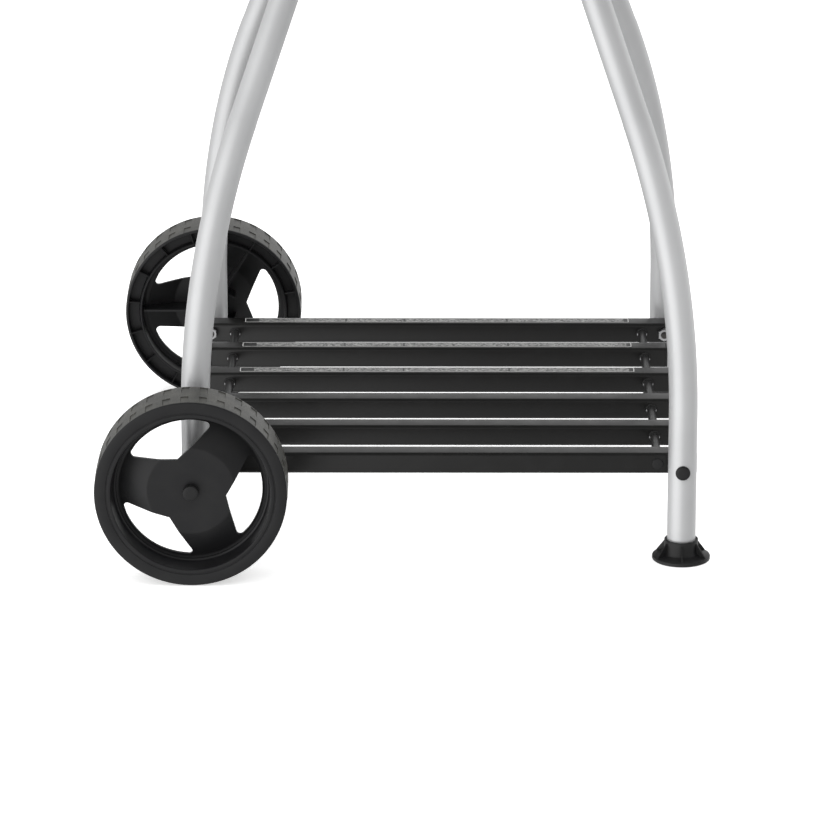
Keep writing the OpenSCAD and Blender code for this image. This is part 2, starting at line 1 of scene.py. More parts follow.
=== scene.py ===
"""The looks of the kettle charcoal grill, round its CAD frame. Metres, +Z up, wheels on -X."""
import json
import math

import bmesh
import bpy
from mathutils import Matrix, Vector


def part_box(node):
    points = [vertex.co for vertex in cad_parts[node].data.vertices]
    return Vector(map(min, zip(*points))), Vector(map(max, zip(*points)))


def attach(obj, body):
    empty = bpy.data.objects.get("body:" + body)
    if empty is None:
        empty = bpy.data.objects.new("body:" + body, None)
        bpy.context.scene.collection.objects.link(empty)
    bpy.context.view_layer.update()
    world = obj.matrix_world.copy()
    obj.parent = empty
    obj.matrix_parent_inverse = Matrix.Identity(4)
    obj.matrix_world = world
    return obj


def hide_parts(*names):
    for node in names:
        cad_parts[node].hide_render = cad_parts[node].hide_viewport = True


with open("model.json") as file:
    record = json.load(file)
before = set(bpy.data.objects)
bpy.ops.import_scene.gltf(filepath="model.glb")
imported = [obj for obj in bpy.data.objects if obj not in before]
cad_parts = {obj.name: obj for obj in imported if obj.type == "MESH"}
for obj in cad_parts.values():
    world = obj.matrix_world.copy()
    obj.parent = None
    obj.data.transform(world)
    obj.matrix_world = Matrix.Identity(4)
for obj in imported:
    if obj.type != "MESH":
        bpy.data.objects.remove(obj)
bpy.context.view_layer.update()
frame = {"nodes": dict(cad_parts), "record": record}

TAU = 2 * math.pi
SHARP = math.radians(35)
BEVEL_ANGLE = math.radians(30)

# A turned outline stops just short of its axis, so that no face has zero area.
AXIS_R = 0.0002
FINE_AXIS_R = 0.0001


# ---------- materials ----------

class Shader:
    """A Principled material whose variation comes from object-space noise."""

    def __init__(self, name, colour, roughness, metallic=0.0):
        self.mat = bpy.data.materials.new(name)
        self.mat.use_nodes = True
        self.nodes = self.mat.node_tree.nodes
        self.links = self.mat.node_tree.links
        self.bsdf = self.nodes["Principled BSDF"]
        self.bsdf.inputs["Base Color"].default_value = (*colour, 1)
        self.bsdf.inputs["Roughness"].default_value = roughness
        self.bsdf.inputs["Metallic"].default_value = metallic
        self.colour = colour
        self.roughness = roughness
        self.coords = self.nodes.new("ShaderNodeTexCoord")
        self.height = None

    def set(self, **values):
        for name, value in values.items():
            self.bsdf.inputs[name.replace("_", " ")].default_value = value
        return self

    def noise(self, per_metre, detail=3.0, stretch=(1, 1, 1)):
        """A noise value with per_metre features along each axis, times stretch."""
        mapping = self.nodes.new("ShaderNodeMapping")
        mapping.inputs["Scale"].default_value = stretch
        self.links.new(self.coords.outputs["Object"], mapping.inputs["Vector"])
        noise = self.nodes.new("ShaderNodeTexNoise")
        noise.inputs["Scale"].default_value = per_metre
        noise.inputs["Detail"].default_value = detail
        self.links.new(mapping.outputs["Vector"], noise.inputs["Vector"])
        return noise.outputs["Fac"]

    def ramp(self, value, low, high, start=0.35, stop=0.65):
        """value, spread from low at start to high at stop."""
        spread = self.nodes.new("ShaderNodeMapRange")
        spread.inputs["From Min"].default_value = start
        spread.inputs["From Max"].default_value = stop
        spread.inputs["To Min"].default_value = low
        spread.inputs["To Max"].default_value = high
        self.links.new(value, spread.inputs["Value"])
        return spread.outputs["Result"]

    def mix(self, factor, first, second):
        """Colour first where factor is 0, second where it is 1."""
        mixer = self.nodes.new("ShaderNodeMix")
        mixer.data_type = "RGBA"
        for socket, value in ((mixer.inputs["A"], first), (mixer.inputs["B"], second)):
            if isinstance(value, bpy.types.NodeSocket):
                self.links.new(value, socket)
            else:
                socket.default_value = (*value, 1)
        self.links.new(factor, mixer.inputs["Factor"])
        return mixer.outputs["Result"]

    def tint(self, factor, other):
        """Moves the base colour towards other where factor rises."""
        self.links.new(self.mix(factor, self.colour, other), self.bsdf.inputs["Base Color"])
        return self

    def vary_roughness(self, value, spread):
        rough = self.ramp(value, self.roughness - spread, self.roughness + spread)
        self.links.new(rough, self.bsdf.inputs["Roughness"])
        return self

    def bump(self, value, height, strength=1.0):
        """Adds relief of height metres; several calls stack."""
        bump = self.nodes.new("ShaderNodeBump")
        bump.inputs["Strength"].default_value = strength
        bump.inputs["Distance"].default_value = height
        self.links.new(value, bump.inputs["Height"])
        if self.height:
            self.links.new(self.height, bump.inputs["Normal"])
        self.height = bump.outputs["Normal"]
        self.links.new(self.height, self.bsdf.inputs["Normal"])
        return self


def silver_paint():
    s = Shader("silver_paint", (0.66, 0.665, 0.67), 0.42, 0.5)
    flake = s.noise(2600, 1)
    cloud = s.noise(14, 4)
    s.tint(s.ramp(cloud, 0.0, 1.0), (0.70, 0.705, 0.71)).vary_roughness(flake, 0.05)
    return s.bump(flake, 0.00003, 0.25).bump(cloud, 0.0004, 0.05).mat


def satin_black_paint(name="satin_black_paint", roughness=0.36, colour=(0.008, 0.0078, 0.0075)):
    s = Shader(name, colour, roughness).set(IOR=1.46)
    peel = s.noise(420, 2)
    dust = s.noise(60, 5)
    s.tint(s.ramp(dust, 0.0, 0.35, 0.5, 0.8), (0.015, 0.015, 0.015)).vary_roughness(dust, 0.03)
    return s.bump(peel, 0.00006, 0.08).mat


def moulded_plastic(name, colour, roughness, grain=1500, depth=0.00006):
    s = Shader(name, colour, roughness).set(IOR=1.42)
    texture = s.noise(grain, 2)
    haze = s.noise(38, 4)
    s.tint(s.ramp(haze, 0.0, 0.35, 0.4, 0.8), (0.028, 0.028, 0.027)).vary_roughness(haze, 0.05)
    return s.bump(texture, depth, 0.35).mat


def tread_plastic():
    s = Shader("tread_plastic", (0.040, 0.040, 0.036), 0.42).set(IOR=1.5)
    texture = s.noise(900, 3)
    dust = s.noise(75, 5)
    s.tint(s.ramp(dust, 0.0, 0.6, 0.35, 0.75), (0.085, 0.083, 0.070)).vary_roughness(texture, 0.07)
    return s.bump(texture, 0.00012, 0.4).mat


def plated_steel(name, colour=(0.62, 0.62, 0.63), roughness=0.28, brushed=(1, 1, 1),
                 per_metre=900):
    s = Shader(name, colour, roughness, 1.0)
    scratch = s.noise(per_metre, 3, brushed)
    stain = s.noise(45, 4)
    s.tint(s.ramp(stain, 0.0, 0.5), tuple(0.72 * c for c in colour)).vary_roughness(scratch, 0.08)
    return s.bump(scratch, 0.00004, 0.3).mat


def black_enamel():
    s = Shader("black_enamel", (0.010, 0.010, 0.011), 0.16)
    s.set(IOR=1.5, Coat_Weight=0.25, Coat_Roughness=0.04)
    peel = s.noise(160, 2)
    speck = s.noise(1400, 1)
    s.tint(s.ramp(speck, 0.0, 0.6, 0.62, 0.72), (0.05, 0.05, 0.052)).vary_roughness(peel, 0.03)
    return s.bump(peel, 0.00025, 0.10).mat


def clear_glass():
    s = Shader("clear_glass", (1, 1, 1), 0.02).set(Transmission_Weight=1.0, IOR=1.45)
    smear = s.noise(90, 4)
    return s.vary_roughness(smear, 0.015).mat


def needle_paint():
    s = Shader("needle_paint", (0.55, 0.02, 0.015), 0.4)
    grain = s.noise(3000, 1)
    return s.vary_roughness(grain, 0.05).mat


def printed_film(name, colour, other, marks=1900):
    """Printed film or dial paint, unevenly inked, with marks patches a metre."""
    s = Shader(name, colour, 0.45)
    ink = s.noise(marks, 3, (0.5, 1, 1))
    grain = s.noise(2600, 1)
    s.tint(s.ramp(ink, 0.0, 1.0, 0.4, 0.64), other).vary_roughness(grain, 0.05)
    return s.mat


SILVER = silver_paint()
SLAT = satin_black_paint()
ROD = satin_black_paint("black_rod", 0.33, (0.02, 0.02, 0.02))
PLASTIC = moulded_plastic("black_plastic", (0.010, 0.010, 0.0105), 0.42)
WHEEL = moulded_plastic("wheel_plastic", (0.0095, 0.0095, 0.0105), 0.43, 1300)
TREAD = tread_plastic()
GRIP = moulded_plastic("grip_plastic", (0.015, 0.015, 0.015), 0.5, 1100, 0.00012)
ZINC = plated_steel("zinc_steel")
# Darker steel for the axle bolts. On the leg bolts' thread ends it is painted shade that makes each
# nut's centre read as a dark hole.
DARK_STEEL_AND_PAINTED_SHADE = plated_steel("dark_steel_and_painted_shade", (0.10, 0.095, 0.09), 0.4)
BRACKET = plated_steel("bracket_steel", (0.46, 0.46, 0.47), 0.33, (1, 12, 12))
CHROME = plated_steel("grate_wire", (0.58, 0.58, 0.58), 0.18)
ALUMINIUM = plated_steel("aluminium_sheet", (0.56, 0.565, 0.57), 0.32, (1, 22, 1), 120)
GAUGE = plated_steel("gauge_steel", (0.58, 0.58, 0.59), 0.2)
ENAMEL = black_enamel()
GLASS = clear_glass()
NEEDLE = needle_paint()

STICKER = printed_film("sticker_film", (0.014, 0.014, 0.014), (0.03, 0.03, 0.03))
STICKER_LINE = printed_film("sticker_line", (0.70, 0.70, 0.69), (0.50, 0.50, 0.49))
STICKER_PANEL = printed_film("sticker_panel", (0.03, 0.03, 0.03), (0.42, 0.42, 0.41), 800)
DIAL_WHITE = printed_film("dial_white", (0.78, 0.78, 0.76), (0.70, 0.70, 0.68))
DIAL_BLACK = printed_film("dial_black", (0.02, 0.02, 0.02), (0.03, 0.03, 0.03))
DIAL_ZONE_LOW = printed_film("dial_zone_low", (0.75, 0.45, 0.05), (0.65, 0.38, 0.05))
DIAL_ZONE_HIGH = printed_film("dial_zone_high", (0.60, 0.04, 0.03), (0.50, 0.04, 0.03))

SLOT_LOOKS = {
    "leg_paint": SILVER,
    "slat_paint": SLAT,
    "black_plastic": PLASTIC,
    "rod_black": ROD,
    "sticker": PLASTIC,
    "zinc_steel": ZINC,
    "wheel_plastic": WHEEL,
    "black_enamel": ENAMEL,
    "grate_steel": CHROME,
    "aluminium_sheet": ALUMINIUM,
    "bracket_steel": BRACKET,
    "grip_plastic": GRIP,
    "gauge_steel": GAUGE,
    "clear_glass": GLASS,
    "needle_red": NEEDLE,
}


def dress_cad_nodes():
    """Gives every CAD node the look of its slot, and the axle bolts a darker steel."""
    for row in frame["record"]["subparts"]:
        node = frame["nodes"][row["node"]]
        node.data.materials.clear()
        look = DARK_STEEL_AND_PAINTED_SHADE if row["node"] == "axle_bolts" else SLOT_LOOKS[row["material_slot"]]
        node.data.materials.append(look)


# ---------- mesh helpers ----------

def finish_piece(name, bm, materials, body, nodes=()):
    """Turns a bmesh into a smooth-shaded piece that rides on a body."""
    bmesh.ops.recalc_face_normals(bm, faces=bm.faces)
    mesh = bpy.data.meshes.new(name)
    bm.to_mesh(mesh)
    bm.free()
    for look in materials:
        mesh.materials.append(look)
    mesh.polygons.foreach_set("use_smooth", [True] * len(mesh.polygons))
    mesh.set_sharp_from_angle(angle=SHARP)
    piece = bpy.data.objects.new(name, mesh)
    bpy.context.collection.objects.link(piece)
    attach(piece, body)
    if nodes:
        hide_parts(*nodes)


def lathe(bm, outline, steps, place=Matrix(), material=0):
    """Turns a closed outline of (radius, height) points round local Z."""
    rings = []
    for k in range(steps):
        a = TAU * k / steps
        rings.append([
            bm.verts.new(place @ Vector((r * math.cos(a), r * math.sin(a), z))) for r, z in outline
        ])
    count = len(outline)
    for k in range(steps):
        one, two = rings[k], rings[(k + 1) % steps]
        for i in range(count):
            j = (i + 1) % count
            f = bm.faces.new((one[i], two[i], two[j], one[j]))
            f.material_index = material


def skin(bm, rows, closed=False, material=0):
    """Joins each row of points to the next with quads, and the last to the first if closed."""
    for one, two in zip(rows, rows[1:] + (rows[:1] if closed else [])):
        for i in range(len(one)):
            j = (i + 1) % len(one)
            bm.faces.new((one[i], one[j], two[j], two[i])).material_index = material


def arc(cx, cy, r, start, stop, steps):
    """Points along an arc, angles in degrees."""
    out = []
    for k in range(steps + 1):
        a = math.radians(start + (stop - start) * k / steps)
        out.append((cx + r * math.cos(a), cy + r * math.sin(a)))
    return out


def round_corners(points, r, steps=4):
    """A closed outline with corner i turned into an arc of radius r, or of r[i] if r is a list."""
    out = []
    n = len(points)
    for i in range(n):
        p = Vector(points[i])
        radius = r[i] if isinstance(r, (list, tuple)) else r
        before = Vector(points[i - 1]) - p
        after = Vector(points[(i + 1) % n]) - p
        if radius <= 0:
            out.append(tuple(p))
            continue
        half = before.angle(after) / 2
        reach = min(radius / math.tan(half), before.length * 0.49, after.length * 0.49)
        radius = reach * math.tan(half)
        a = p + before.normalized() * reach
        b = p + after.normalized() * reach
        middle = (before.normalized() + after.normalized()).normalized()
        centre = p + middle * radius / math.sin(half)
        va, vb = a - centre, b - centre
        turn = math.atan2(va.x * vb.y - va.y * vb.x, va.dot(vb))
        for k in range(steps + 1):
            t = turn * k / steps
            c, s = math.cos(t), math.sin(t)
            out.append((centre.x + va.x * c - va.y * s, centre.y + va.x * s + va.y * c))
    return out


def rounded_rectangle(x0, y0, x1, y1, r, steps=5):
    return round_corners([(x0, y0), (x1, y0), (x1, y1), (x0, y1)], r, steps)


def prism(bm, outline, z0, z1, place=Matrix(), material=0):
    """A solid between two copies of a closed outline."""
    low, top = [[bm.verts.new(place @ Vector((x, y, z))) for x, y in outline] for z in (z0, z1)]
    bm.faces.new(low).material_index = material
    bm.faces.new(top).material_index = material
    skin(bm, [low, top], material=material)


def bevel_all(bm, width):
    """Rounds every edge that is sharper than BEVEL_ANGLE."""
    edges = [e for e in bm.edges
             if len(e.link_faces) == 2 and e.calc_face_angle() > BEVEL_ANGLE]
    bmesh.ops.bevel(bm, geom=edges, offset=width, segments=2, profile=0.5, affect="EDGES",
                    clamp_overlap=True)


def cut(solid, cutter):
    """The first bmesh with the second cut away."""
    parts = []
    for bm in (solid, cutter):
        bmesh.ops.recalc_face_normals(bm, faces=bm.faces)
        mesh = bpy.data.meshes.new("cutting")
        bm.to_mesh(mesh)
        bm.free()
        part = bpy.data.objects.new("cutting", mesh)
        bpy.context.collection.objects.link(part)
        parts.append(part)
    modifier = parts[0].modifiers.new("cut", "BOOLEAN")
    modifier.object = parts[1]
    modifier.operation = "DIFFERENCE"
    modifier.solver = "EXACT"
    seen = parts[0].evaluated_get(bpy.context.evaluated_depsgraph_get())
    result = bmesh.new()
    result.from_mesh(seen.to_mesh())
    for part in parts:
        bpy.data.objects.remove(part)
    return result


def add_mesh(bm, other, place=Matrix(), material=0):
    """Copies another bmesh into bm."""
    index = {v: bm.verts.new(place @ v.co) for v in other.verts}
    for f in other.faces:
        bm.faces.new([index[v] for v in f.verts]).material_index = material
    other.free()


def facing(at, direction):
    """Local +Z along direction, with the origin at a point."""
    turn = Vector(direction).to_track_quat("Z", "Y").to_matrix().to_4x4()
    return Matrix.Translation(at) @ turn


def plate(bm, place, size, at, turn=0.0, bevel=0.0004, material=0):
    """A bevelled block of the given size, centred at a point and turned about local Z."""
    block = bmesh.new()
    bmesh.ops.create_cube(block, size=1.0)
    bmesh.ops.scale(block, vec=size, verts=block.verts)
    bevel_all(block, bevel)
    matrix = place @ Matrix.Rotation(turn, 4, "Z") @ Matrix.Translation(at)
    add_mesh(bm, block, matrix, material)


def radial_rib(bm, place, outline, thickness, turn):
    """A flat rib whose (radius, depth) outline stands in a plane through the axis."""
    rib = bmesh.new()
    prism(rib, outline, -thickness / 2, thickness / 2)
    bevel_all(rib, 0.0003)
    stand = Matrix(((1, 0, 0, 0), (0, 0, 1, 0), (0, 1, 0, 0), (0, 0, 0, 1)))
    add_mesh(bm, rib, place @ Matrix.Rotation(turn, 4, "Z") @ stand)


# ---------- wheels ----------

RIM_R = 0.100
WIDTH = 0.055
TREAD_START = 0.0018
TREAD_CROWN = 0.0004
TREAD_LOW_R = RIM_R - 0.0005
HUB_DISC_R = 0.046
HUB_DISC_DEPTH = 0.011
SOFT_EDGE = 0.0012
CONE_R = 0.0755
WEB_RIM_DEPTH = 0.025
WEB_THICK = 0.004
WEB_R = 0.0805
OPENING_R = 0.0735
OPENING_TIP = 0.0365
OPENING_ROUND = 0.0045
OPENING_TIP_ROUND = 0.0018
OPENING_TRIM = 12  # degrees left off each end of the outer curve, for its rounded corner
SPOKE_HALF_IN = 0.0305
SPOKE_HALF_OUT = 0.0250
HUB_R = 0.015
BORE_R = 0.0061
BORE_START = 0.0255
CAP_R = 0.008
CAP_DEPTH = 0.0025
CAP_DOME = 0.0003
CAP_EDGE = 0.0009
CAP_HOLE_R = CAP_R + 0.0001
NOTCHES = 33
NOTCH_SHARE = 0.41
NOTCH_START = 0.0030
NOTCH_END = 0.0205
NOTCH_DEPTH = 0.0009
NOTCH_WALL = 0.00025
CHANNEL_DEPTH = 0.012
CHANNEL_RIBS = 16
SPINE_R = 0.0795
SPINE_DEPTH = 0.046


def wheel_matrix(node, side):
    """Local (x, y, depth) to world, with depth running inwards from the wheel's outer face.

    side is -1 for the front wheel and 1 for the rear one.
    """
    low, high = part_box(node)
    centre = (low + high) / 2
    outer = high.y if side > 0 else low.y
    return Matrix((
        (1, 0, 0, centre.x),
        (0, 0, -side, outer),
        (0, 1, 0, centre.z),
        (0, 0, 0, 1),
    ))


def notch_turns(phase):
    """Pairs of turn and sunk flag round the tread, eight for each notch."""
    period = TAU / NOTCHES
    half = period * NOTCH_SHARE / 2
    wall = NOTCH_WALL / RIM_R
    land = period - 2 * half
    out = []
    for k in range(NOTCHES):
        mid = phase + k * period
        out += [(mid - half - wall, False),
                (mid - half, True), (mid - half / 3, True),
                (mid + half / 3, True), (mid + half, True),
                (mid + half + wall, False),
                (mid + half + land / 3, False), (mid + half + 2 * land / 3, False)]
    return out


def wheel_profile():
    """(radius, depth, in a notch's row) once round the rim's section, from the tread's front."""
    notch = [(NOTCH_START, False), (NOTCH_START + NOTCH_WALL, True), (NOTCH_END, True),
             (NOTCH_END + NOTCH_WALL, False)]
    depths = [(TREAD_START, False)] + notch + [(WIDTH / 2, False)]
    depths += [(WIDTH - d, sunk) for d, sunk in reversed(notch)] + [(WIDTH - TREAD_START, False)]
    tread = [(RIM_R - TREAD_CROWN * (2 * d / WIDTH - 1) ** 2, d, sunk) for d, sunk in depths]
    back = [(0.0993, WIDTH - 0.0006), (0.0985, WIDTH - 0.0001), (0.0978, WIDTH), (0.0970, WIDTH),
            (0.0966, WIDTH - 0.0006), (0.0962, WIDTH - CHANNEL_DEPTH),
            (0.0850, WIDTH - CHANNEL_DEPTH), (0.0838, WIDTH - 0.0042), (0.0832, WIDTH - 0.0036),
            (0.0820, WIDTH - 0.0036), (0.0813, WIDTH - 0.0043), (0.0805, 0.0305), (0.0779, 0.0285)]
    ledge = [(0.0779, 0.0245), (0.0781, 0.0234), (0.0786, 0.0229), (0.0797, 0.0227),
             (0.0803, 0.0222), (0.0806, 0.0212), (0.0824, 0.0022)]
    lip = arc(0.0836, 0.0011, 0.0011, 185, 270, 6)
    front = [(0.0858, 0.0), (0.0864, 0.0001), (0.0869, 0.0006), (0.0877, 0.0006),
             (0.0882, 0.0001), (0.0888, 0.0), (0.0982, 0.0), (0.0989, 0.0002), (0.0995, 0.0007)]
    return tread + [(r, d, False) for r, d in back + ledge + lip + front]


def rim(bm, place, phase):
    """The rim's closed section turned round, with the notches sunk into its tread."""
    profile = wheel_profile()
    tread_points = sum(r > TREAD_LOW_R for r, d, in_row in profile)
    rings = []
    for turn, in_notch in notch_turns(phase):
        ring = []
        for r, d, in_row in profile:
            r -= NOTCH_DEPTH if in_notch and in_row else 0
            ring.append(bm.verts.new(place @ Vector((r * math.cos(turn), r * math.sin(turn), d))))
        rings.append(ring)
    for k, one in enumerate(rings):
        two = rings[(k + 1) % len(rings)]
        for i in range(len(one)):
            j = (i + 1) % len(one)
            face = bm.faces.new((one[i], one[j], two[j], two[i]))
            face.material_index = 1 if i < tread_points - 1 else 0


def web_height(r):
    """Depth of the web's outer surface: a flat hub disc, a soft edge, then a cone to the rim."""
    over = r - HUB_DISC_R
    if over < SOFT_EDGE:
        over = max(over + SOFT_EDGE, 0) ** 2 / (4 * SOFT_EDGE)
    slope = (WEB_RIM_DEPTH - HUB_DISC_DEPTH) / (CONE_R - HUB_DISC_R)
    return min(HUB_DISC_DEPTH + slope * over, WEB_RIM_DEPTH)


def opening_outline(spoke):
    """The opening after the spoke at this angle, as a closed outline with rounded corners."""
    gap = math.radians(spoke + 60)
    taper = math.atan2(SPOKE_HALF_IN - SPOKE_HALF_OUT, OPENING_R - OPENING_TIP)
    flare = math.radians(60) + taper
    tip = Vector((math.cos(gap), math.sin(gap))) * OPENING_TIP
    corners = []
    for sign in (-1, 1):
        edge = Vector((math.cos(gap + sign * flare), math.sin(gap + sign * flare)))
        b = tip.dot(edge)
        reach = -b + math.sqrt(b * b - tip.length_squared + OPENING_R ** 2)
        corners.append(tip + edge * reach)
    start, stop = (math.degrees(math.atan2(c.y, c.x)) for c in corners)
    stop += 360 if stop < start else 0
    curve = arc(0, 0, OPENING_R, start + OPENING_TRIM, stop - OPENING_TRIM, 14)
    points = [tuple(tip), tuple(corners[0])] + curve + [tuple(corners[1])]
    radii = [OPENING_TIP_ROUND, OPENING_ROUND] + [0] * len(curve) + [OPENING_ROUND]
    return round_corners(points, radii, 6)


def spoke_web(bm, place, spokes):
    """The domed web: a turned sheet with a hole for the cap and three openings cut through it."""
    radii = [CAP_HOLE_R, HUB_R, 0.030, 0.040]
    radii += [HUB_DISC_R + SOFT_EDGE * k / 3 for k in range(-3, 4)]
    radii += [0.052, 0.060, 0.068, 0.0745, CONE_R, 0.0765, WEB_R]
    outline = [(r, web_height(r)) for r in radii]
    outline += [(r, web_height(r) + WEB_THICK) for r in reversed(radii)]
    disc = bmesh.new()
    lathe(disc, outline, 144)
    cutter = bmesh.new()
    for spoke in spokes:
        prism(cutter, opening_outline(spoke), -0.01, 0.06)
    add_mesh(bm, cut(disc, cutter), place)


def wheel(node, side, first_spoke, first_notch):
    """A moulded wheel: rim, web, the ribs behind them and the hub tube. Angles in degrees."""
    place = wheel_matrix(node, side)
    spokes = [first_spoke + 120 * k for k in range(3)]
    bm = bmesh.new()
    rim(bm, place, math.radians(first_notch))
    spoke_web(bm, place, spokes)
    floor = WIDTH - CHANNEL_DEPTH - 0.0015
    channel_rib = [(0.0842, floor), (0.0972, floor), (0.0972, WIDTH - 0.0004),
                   (0.0842, WIDTH - 0.0044)]
    for k in range(CHANNEL_RIBS):
        turn = math.radians(first_spoke + 360 / CHANNEL_RIBS * k)
        radial_rib(bm, place, channel_rib, 0.0011, turn)
    under = WEB_THICK - 0.001
    disc_back, cone_back = HUB_DISC_DEPTH + under, WEB_RIM_DEPTH + under
    spine = [(HUB_R - 0.001, disc_back), (HUB_DISC_R, disc_back), (OPENING_R + 0.001, cone_back),
             (SPINE_R, cone_back), (SPINE_R, SPINE_DEPTH), (HUB_R - 0.001, SPINE_DEPTH)]
    for spoke in spokes:
        turn = math.radians(spoke)
        radial_rib(bm, place, spine, 0.0022, turn)
        plate(bm, place, (0.0018, 0.030, 0.022), (0.0225, 0, disc_back + 0.011), turn)
    hub = [(CAP_HOLE_R, disc_back), (HUB_R, disc_back), (HUB_R, WIDTH + 0.0012),
           (HUB_R - 0.0008, WIDTH + 0.002), (BORE_R, WIDTH + 0.002), (BORE_R, BORE_START),
           (CAP_HOLE_R, BORE_START)]
    lathe(bm, hub, 64, place)
    finish_piece(node + "_moulding", bm, [WHEEL, TREAD], node, [node])


def hub_cap(node, wheel_node, side):
    """The round plug that stands proud of the hub disc, slightly domed."""
    place = wheel_matrix(wheel_node, side)
    dome_radii = (FINE_AXIS_R, 0.0025, 0.005, CAP_R - CAP_EDGE)
    outline = [(r, CAP_DEPTH + CAP_DOME * (r / CAP_R) ** 2) for r in dome_radii]
    outline += arc(CAP_R - CAP_EDGE, CAP_DEPTH + CAP_DOME + CAP_EDGE, CAP_EDGE, -75, 0, 5)
    outline += [(CAP_R, 0.0185), (0.006, 0.0185), (0.006, 0.006), (FINE_AXIS_R, 0.006)]
    bm = bmesh.new()
    lathe(bm, outline, 64, place)
    finish_piece(node + "_plug", bm, [PLASTIC], wheel_node, [node])


# ---------- stickers ----------

STICKER_X = (-0.2185, 0.2145)
STICKER_Y = (-0.0072, 0.0080)
STICKER_THICK = 0.0003
STICKER_EDGE = 0.0004
LINE_WIDTH = 0.0009
STICKER_MARGIN = 0.016
PANEL_SHARES = (0.24, 0.16, 0.28, 0.32)


def stickers():
    """Blank stickers on the three rear slats: a pale outline round a row of mottled panels."""
    bm = bmesh.new()
    x0, x1 = STICKER_X
    for number in (4, 5, 6):
        low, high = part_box("shelf_slat_%d" % number)
        middle, top = (low.y + high.y) / 2, high.z
        y0, y1 = middle + STICKER_Y[0], middle + STICKER_Y[1]
        film = rounded_rectangle(x0, y0, x1, y1, 0.002)
        prism(bm, film, top, top + STICKER_THICK * 0.5, material=0)
        outer, inner = [
            rounded_rectangle(x0 + inset, y0 + inset, x1 - inset, y1 - inset, r)
            for inset, r in ((STICKER_EDGE, 0.0018), (STICKER_EDGE + LINE_WIDTH, 0.0012))]
        line_z = top + STICKER_THICK * 0.8
        rows = [[bm.verts.new((x, y, z)) for x, y in shape]
                for shape, z in ((outer, top), (outer, line_z), (inner, line_z), (inner, top))]
        skin(bm, rows, material=1)
        left = x0 + STICKER_MARGIN
        room = x1 - x0 - STICKER_MARGIN
        for share in PANEL_SHARES:
            right = left + room * share - 0.003
            panel = rounded_rectangle(left, y0 + 0.0022, right, y1 - 0.0022, 0.0006, 2)
            prism(bm, panel, top, top + STICKER_THICK * 0.7, material=2)
            left = right + 0.002
    finish_piece("shelf_stickers", bm, [STICKER, STICKER_LINE, STICKER_PANEL], "cart",
                 ["shelf_labels"])


# ---------- legs ----------

LEG_HALF = 0.254
LEG_R = 0.015
LEG_WALL = 0.0015
LEG_REACH = 0.3592
BEND_Z = 0.160
BEND_R = 0.668
BEND_ANGLE = math.radians(26.7)
BEND_STEPS = 48
BEND_TOP_Z = BEND_Z + BEND_R * math.sin(BEND_ANGLE)
BEND_TOP_REACH = LEG_REACH - BEND_R * (1 - math.cos(BEND_ANGLE))
LEG_SIDES = 56
SWAGE = 0.0003


def leg(node, sx, sy):
    """A bent tube: straight up, round one long bend, then straight and swaged into its socket."""
    low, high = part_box(node)
    length = (high.z - LEG_R * math.sin(BEND_ANGLE) - BEND_TOP_Z) / math.cos(BEND_ANGLE)
    # A station is the reach from the grill's axis, the height, the turn so far and the radius.
    stations = [(LEG_REACH, low.z + h, 0.0, LEG_R - e)
                for h, e in ((0, 0.0006), (0.0002, 0.0002), (0.0007, 0))]
    stations += [(LEG_REACH, low.z + (BEND_Z - low.z) * k / 4, 0.0, LEG_R) for k in range(1, 4)]
    for k in range(BEND_STEPS + 1):
        turn = BEND_ANGLE * k / BEND_STEPS
        stations.append((LEG_REACH - BEND_R * (1 - math.cos(turn)),
                         BEND_Z + BEND_R * math.sin(turn), turn, LEG_R))
    for share in (0.02, 0.25, 0.5, 0.75, 1.0):
        stations.append((BEND_TOP_REACH - length * share * math.sin(BEND_ANGLE),
                         BEND_TOP_Z + length * share * math.cos(BEND_ANGLE),
                         BEND_ANGLE, LEG_R - SWAGE))
    inside = LEG_R - LEG_WALL - SWAGE
    stations += [(*station[:3], inside) for station in reversed(stations)]
    out = Vector((sx, sy, 0)).normalized()
    side = Vector((-out.y, out.x, 0))
    bm = bmesh.new()
    rings = []
    for reach, z, turn, r in stations:
        across = out * math.cos(turn) + Vector((0, 0, math.sin(turn)))
        centre = out * reach + Vector((0, 0, z))
        turns = [TAU * k / LEG_SIDES for k in range(LEG_SIDES)]
        rings.append([bm.verts.new(centre + (across * math.cos(a) + side * math.sin(a)) * r)
                      for a in turns])
    skin(bm, rings, closed=True)
    finish_piece(node + "_tube", bm, [SILVER], "cart", [node])


# ---------- slats, rods and fasteners ----------

SLAT_ROUND = 0.004
ROD_X = 0.229
PLUG_PROUD = 0.0012
NUT_SIDES = 60
NUT_FACE_Y = 0.21275
THREAD_PITCH = 0.00125
BRACKET_SCREW_Y = 0.060

# The axle bolts pass the left legs this far outwards of their middle, and above the right bolts.
AXLE_SHIFT = 0.0025
AXLE_RISE = 0.001


def bar(bm, x0, x1, centre_y, centre_z, depth, height, soft):
    """A bar along X with a rounded rectangular section, its ends softened over the length soft."""
    rows = []
    for x, inset in ((x0, soft), (x0 + soft * 0.3, soft * 0.3), (x0 + soft, 0), (x1 - soft, 0),
                     (x1 - soft * 0.3, soft * 0.3), (x1, soft)):
        section = rounded_rectangle(-depth / 2 + inset, -height / 2 + inset, depth / 2 - inset,
                                    height / 2 - inset, SLAT_ROUND - inset * 0.5, 8)
        rows.append([bm.verts.new((x, centre_y + y, centre_z + z)) for y, z in section])
    skin(bm, rows)
    for row in (rows[0], rows[-1]):
        bm.faces.new(row)


